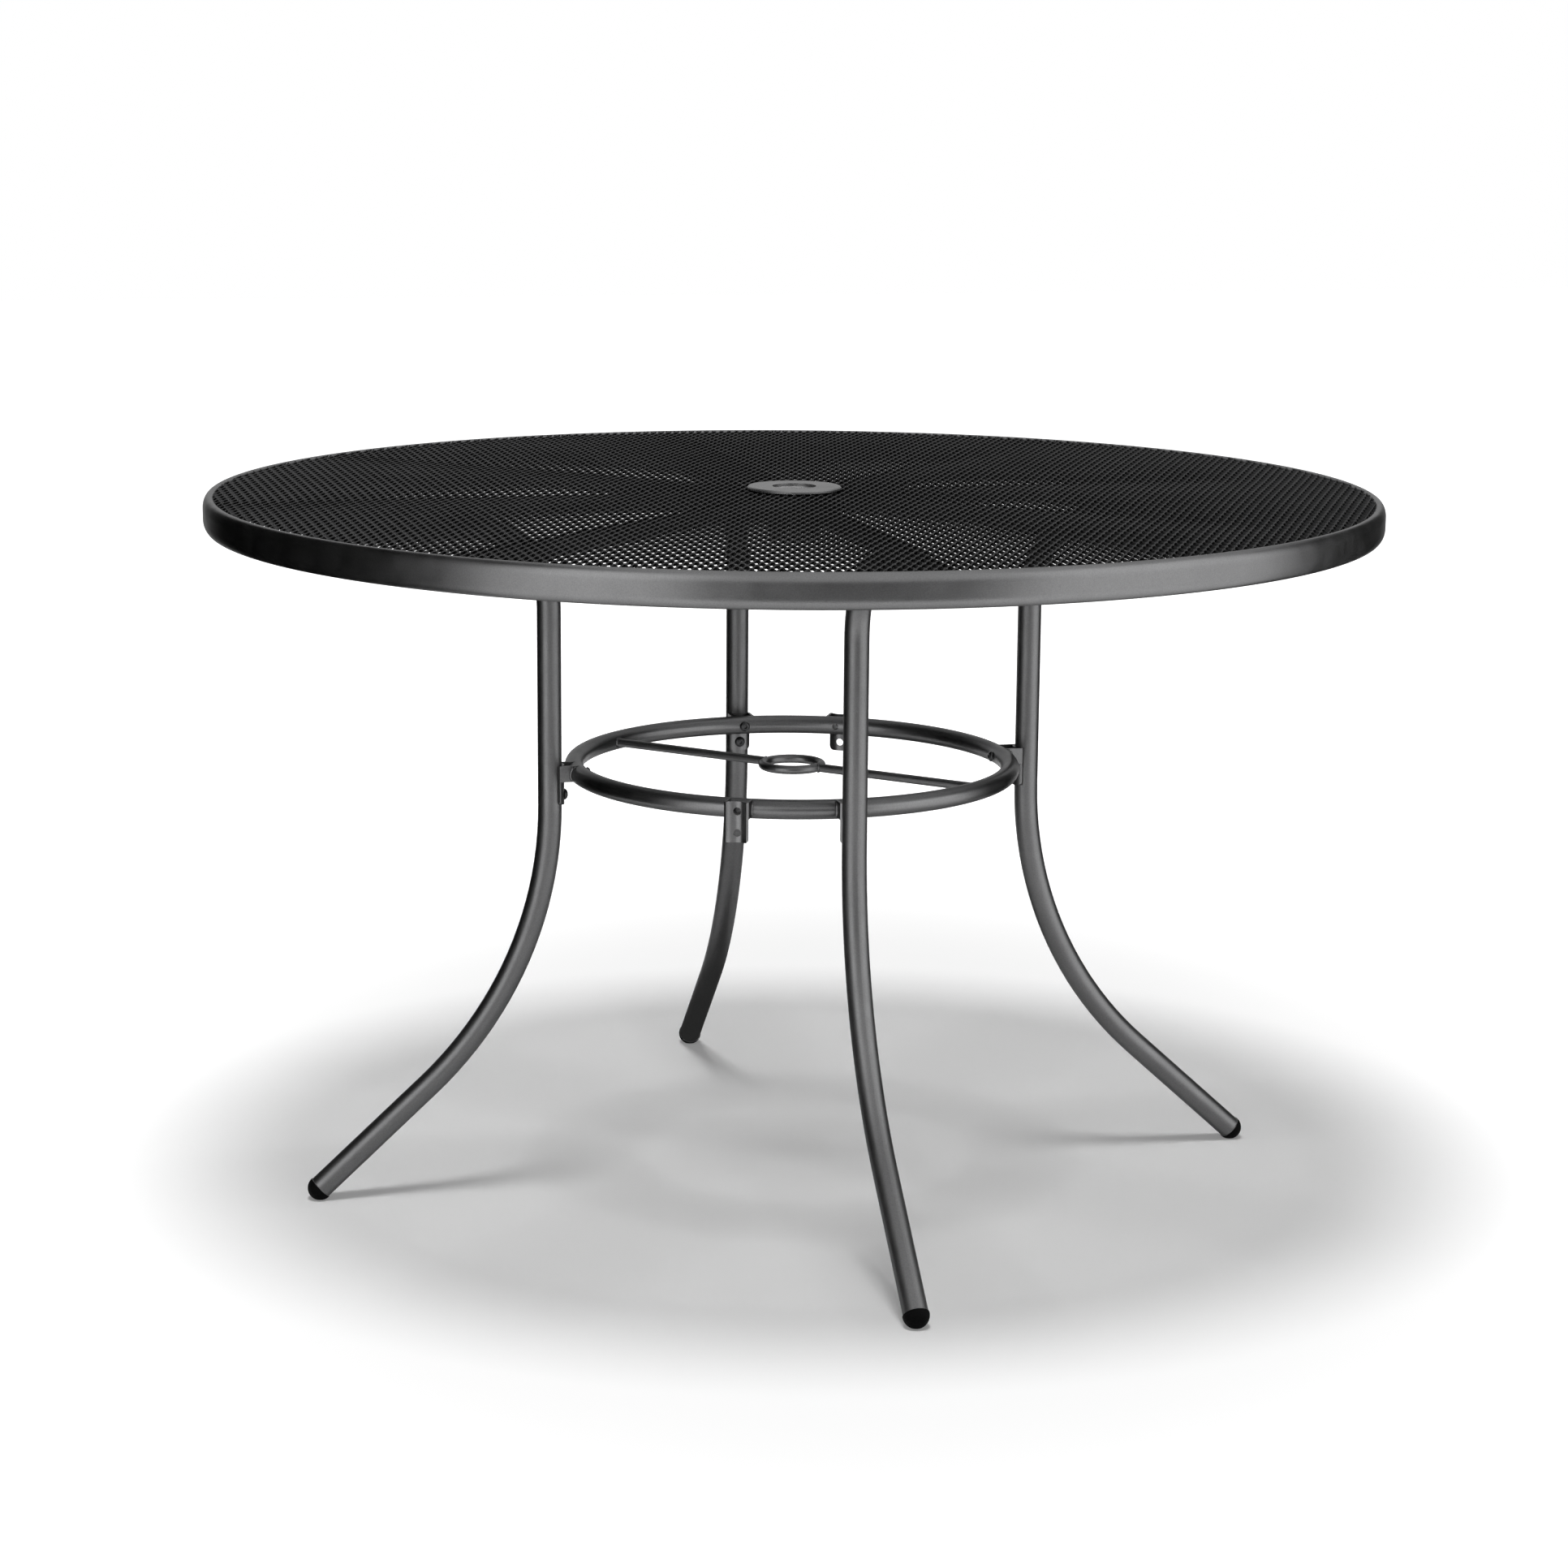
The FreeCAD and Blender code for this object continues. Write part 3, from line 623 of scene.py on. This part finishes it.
def rod_joint(turn, bar_radius, bar_tube, outward):
    """The line where a guide rod meets a round bar, seen along the rod."""
    path = []
    for step in range(ROD_JOINT_STEPS):
        angle = 2 * math.pi * step / ROD_JOINT_STEPS
        sideways = ROD_RADIUS * math.cos(angle)
        rise = ROD_JOINT_SHARE * ROD_RADIUS * math.sin(angle)
        reach = bar_radius + outward * math.sqrt(max(0.0, bar_tube ** 2 - rise ** 2))
        path.append(point_at_reach(turn, reach, sideways, RING_HEIGHT + rise))
    return path


def flange_joint(turn, side):
    """The line where a bracket's flange meets the ring."""
    path = []
    sideways = side * (SADDLE_HALF_WIDTH + FLANGE_BEAD_OFFSET)
    for step in range(FLANGE_WELD_STEPS + 1):
        rise = FLANGE_WELD_LOW + FLANGE_WELD_HEIGHT * step / FLANGE_WELD_STEPS
        reach = RING_RADIUS + math.sqrt(RING_TUBE ** 2 - rise ** 2)
        path.append(point_at_reach(turn, reach, sideways, RING_HEIGHT + rise))
    return path


def spoke_joint(turn, reach):
    """The line round a spoke's sides and underside, where it meets the rim or the sleeve."""
    top = spoke_high.z - SPOKE_WELD_DROP
    corners = [
        (SPOKE_HALF_WIDTH, top), (SPOKE_HALF_WIDTH, spoke_low.z),
        (-SPOKE_HALF_WIDTH, spoke_low.z), (-SPOKE_HALF_WIDTH, top)]
    path = []
    for (start, low), (end, high) in zip(corners, corners[1:]):
        for step in range(SPOKE_WELD_STEPS):
            part = step / SPOKE_WELD_STEPS
            sideways = start + (end - start) * part
            path.append(point_at_reach(turn, reach, sideways, low + (high - low) * part))
    return path


def weld_beads():
    """Every weld: guide rods, bracket flanges, and the spokes' two ends."""
    points = []
    faces = []
    for turn in ROD_TURNS:
        ring_path = rod_joint(turn, RING_RADIUS, RING_TUBE, -1)
        bead(points, faces, ring_path, ROD_RING_BEAD, closed=True)
        loop_path = rod_joint(turn, LOOP_RADIUS, LOOP_TUBE, 1)
        bead(points, faces, loop_path, ROD_LOOP_BEAD, closed=True)
    for turn in BRACKET_TURNS:
        for side in (-1, 1):
            bead(points, faces, flange_joint(turn, side), FLANGE_BEAD)
    for sector in range(SECTORS):
        turn = 360 * sector / SECTORS
        outer = spoke_high.x - SPOKE_BEAD_OFFSET
        inner = SLEEVE_RADIUS + SPOKE_BEAD_OFFSET
        bead(points, faces, spoke_joint(turn, outer), SPOKE_RIM_BEAD)
        bead(points, faces, spoke_joint(turn, inner), SPOKE_SLEEVE_BEAD)
    on_table(mesh_from("weld_beads", points, faces, smooth=True), frame_coat)


def tube_lips():
    """The rounded edge of each leg tube's cut end, just above its foot cap."""
    points = []
    faces = []
    splay = math.radians(FOOT_SPLAY)
    for turn in LEG_TURNS:
        path = []
        for step in range(LIP_STEPS):
            angle = 2 * math.pi * step / LIP_STEPS
            up = LEG_TUBE_RADIUS * math.cos(angle)
            radial = FOOT_RADIUS + up * math.cos(splay)
            height = FOOT_HEIGHT + up * math.sin(splay)
            path.append(turned_point(turn, radial, LEG_TUBE_RADIUS * math.sin(angle), height))
        bead(points, faces, path, LIP_BEAD, closed=True, uneven=0.0)
    on_table(mesh_from("tube_lips", points, faces, smooth=True), frame_coat)


def camera():
    """The photograph's camera: same place, direction and lens."""
    pitch = math.radians(CAMERA_PITCH)
    yaw = -math.radians(CAMERA_YAW)
    roll = math.radians(CAMERA_ROLL)
    forward = Vector((
        math.sin(yaw) * math.cos(pitch), math.cos(yaw) * math.cos(pitch), -math.sin(pitch)))
    right = Vector((math.cos(yaw), -math.sin(yaw), 0))
    up = right.cross(forward)
    turned_right = math.cos(roll) * right + math.sin(roll) * up
    turned_up = -math.sin(roll) * right + math.cos(roll) * up
    stand = Matrix.Translation((0, -CAMERA_DISTANCE, CAMERA_HEIGHT))
    axes = Matrix((turned_right, turned_up, -forward)).transposed().to_4x4()
    data = bpy.data.cameras.new("camera")
    data.lens = CAMERA_LENS
    data.sensor_width = SENSOR_WIDTH
    data.sensor_fit = "HORIZONTAL"
    data.clip_end = CAMERA_REACH
    view = new_object("camera", data)
    view.matrix_world = Matrix.Rotation(-math.radians(CAMERA_TURN), 4, "Z") @ stand @ axes
    bpy.context.scene.camera = view


def from_camera_side(angle, distance, height):
    """A point of the room: degrees round from the camera's side, to its right."""
    turn = math.radians(angle - 90 - CAMERA_TURN)
    return Vector((math.cos(turn) * distance, math.sin(turn) * distance, height))


def card_glow(level):
    """One grey level's glow, shared by the cards of that level."""
    name = "card_%03d" % round(100 * level)
    material = bpy.data.materials.get(name)
    if material is None:
        material, graph = new_material(name)
        nodes = material.node_tree.nodes
        glow = graph.add("ShaderNodeEmission", Strength=level)
        graph.link(glow.outputs["Emission"], nodes["Material Output"].inputs["Surface"])
        nodes.remove(nodes["Principled BSDF"])
    return material


def card(name, level, start, end, first_edge, second_edge):
    """A strip round the table between two edges, which shows only in reflections."""
    points = []
    faces = []
    steps = max(2, int((end - start) / CARD_STEP))
    for step in range(steps + 1):
        angle = start + (end - start) * step / steps
        points.append(from_camera_side(angle, *first_edge))
        points.append(from_camera_side(angle, *second_edge))
    order = UPRIGHT_FACE if first_edge[0] == second_edge[0] else FLAT_FACE
    for step in range(steps):
        faces.append(tuple(2 * step + point for point in order))
    piece = mesh_from(name, points, faces)
    piece.data.materials.append(card_glow(level))
    piece.visible_camera = False
    piece.visible_diffuse = False
    piece.visible_shadow = False
    piece.visible_transmission = False


def seen_directly(graph):
    """1 for rays from the camera, or through a reflection or a clear surface, and 0 for the rest."""
    rays = graph.add("ShaderNodeLightPath").outputs
    straight = graph.combine("MAXIMUM", rays["Is Camera Ray"], rays["Is Glossy Ray"])
    return graph.combine("MAXIMUM", straight, rays["Is Transmission Ray"])


def floor():
    """A pale floor that keeps the table's shadow and turns into a white backdrop further out. Its
    glow stays low inside an oval laid over the shadow: a painted shadow added to the lamp's.
    """
    size = FLOOR_SIZE
    points = [(-size, -size, 0), (size, -size, 0), (size, size, 0), (-size, size, 0)]
    piece = mesh_from("floor", points, [(0, 1, 2, 3)])
    material, graph = new_material("floor_white")
    nodes = material.node_tree.nodes
    shader = nodes["Principled BSDF"]
    shader.inputs["Base Color"].default_value = (FLOOR_COLOUR, FLOOR_COLOUR, FLOOR_COLOUR, 1)
    shader.inputs["Roughness"].default_value = 1.0
    shader.inputs["Specular IOR Level"].default_value = 0.0
    place = graph.add("ShaderNodeTexCoord")
    distance = graph.add("ShaderNodeVectorMath")
    distance.operation = "LENGTH"
    # painted shadow: the glow stays low inside this oval, fitted to the shadow's place and size
    oval = graph.add("ShaderNodeMapping")
    oval.vector_type = "TEXTURE"
    oval.inputs["Location"].default_value = from_camera_side(PAINTED_SHADOW_TURN, PAINTED_SHADOW_AWAY, 0)
    oval.inputs["Rotation"].default_value = (0, 0, -math.radians(CAMERA_TURN))
    oval.inputs["Scale"].default_value = (PAINTED_SHADOW_WIDE, PAINTED_SHADOW_DEEP, 1)
    graph.link(place.outputs["Object"], oval.inputs["Vector"])
    graph.link(oval.outputs["Vector"], distance.inputs[0])
    glow_outside_painted_shadow = graph.map_range(
        distance.outputs["Value"], GLOW_START, GLOW_END, GLOW_NEAR, GLOW_FAR, "SMOOTHSTEP")
    glow = graph.add("ShaderNodeEmission")
    strength = graph.combine("MULTIPLY", seen_directly(graph), glow_outside_painted_shadow)
    graph.link(strength, glow.inputs["Strength"])
    both = graph.add("ShaderNodeAddShader")
    graph.link(shader.outputs["BSDF"], both.inputs[0])
    graph.link(glow.outputs["Emission"], both.inputs[1])
    graph.link(both.outputs["Shader"], nodes["Material Output"].inputs["Surface"])
    piece.data.materials.append(material)


def world():
    """White to the camera and in reflections, and a dimmer soft light on everything else."""
    scene_world = bpy.data.worlds.new("studio")
    scene_world.use_nodes = True
    bpy.context.scene.world = scene_world
    graph = Graph(scene_world.node_tree)
    background = scene_world.node_tree.nodes["Background"]
    background.inputs["Color"].default_value = (1, 1, 1, 1)
    strength = graph.map_range(seen_directly(graph), 0.0, 1.0, WORLD_LIGHT, 1.0)
    graph.link(strength, background.inputs["Strength"])


def top_light():
    """The big round lamp overhead that casts the table's soft shadow; the floor's low glow oval
    paints part of its oval shape.
    """
    data = bpy.data.lights.new("top_light", "AREA")
    data.shape = "DISK"
    data.size = TOP_SIZE
    data.energy = TOP_POWER
    lamp = new_object("top_light", data)
    lamp.location = from_camera_side(TOP_TURN, TOP_AWAY, TOP_HEIGHT)
    lamp.visible_glossy = False


frame_coat = powder_coat(
    "frame_coat", FRAME_COLOUR, roughness=0.34, edge=0.5, variation=0.05)
mesh_coat = powder_coat("mesh_coat", MESH_COLOUR, roughness=0.45, edge=0.3)
# hub plate coat, lightened as a painted highlight
hub_coat = powder_coat("hub_coat", HUB_PAINTED_LIGHT_COLOUR, roughness=0.42, edge=0.6)
# umbrella sleeve coat, paled as painted light inside the hole
sleeve_painted_light_coat = powder_coat("sleeve_painted_light_coat", SLEEVE_PAINTED_LIGHT_COLOUR, roughness=0.55)
leg_coat = powder_coat("leg_coat", FRAME_COLOUR, roughness=0.42, edge=0.55, variation=0.05)
cap_plastic = powder_coat(
    "cap_plastic", CAP_COLOUR, roughness=0.65, metallic=0.0, specular=0.06, grain=0.0008)
bolt_coat = powder_coat("bolt_coat", BOLT_COLOUR, roughness=0.34)

NODE_MATERIALS = {           # by how the node's name starts, and the frame's coat for the rest
    "foot_cap": cap_plastic,
    "arm_plug": cap_plastic,
    # painted highlight on the hub plate
    "hub_plate": hub_coat,
    # painted light inside the umbrella hole
    "umbrella_sleeve": sleeve_painted_light_coat,
    "leg_": leg_coat,
    "arm_bolts": bolt_coat,
    "arm_nuts": bolt_coat,
    "upper_ring_bolts": bolt_coat,
    "lower_ring_bolts": bolt_coat,
    "upper_leg_nuts": bolt_coat,
    "lower_leg_nuts": bolt_coat,
}


def dress_nodes():
    """Gives each solid of the CAD its coat."""
    for name, piece in record_nodes.items():
        material = frame_coat
        for start, other in NODE_MATERIALS.items():
            if name.startswith(start):
                material = other
        piece.data.materials.clear()
        piece.data.materials.append(material)


dress_nodes()
sheet = on_table(expanded_sheet(), mesh_coat)
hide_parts("mesh_top")
rolled_rim()
drilled_ring()
ring_bolts("upper_socket_bolts", RING_RADIUS - RING_TUBE, RING_HEIGHT, "upper_ring_bolts")
ring_bolts("lower_socket_bolts", SADDLE_BACK, RING_HEIGHT - BOLT_SPACING, "lower_ring_bolts")
weld_beads()
tube_lips()

camera()
floor()
world()
top_light()
for values in CARDS:
    card(*values)

view_settings = bpy.context.scene.view_settings
view_settings.view_transform = "Standard"
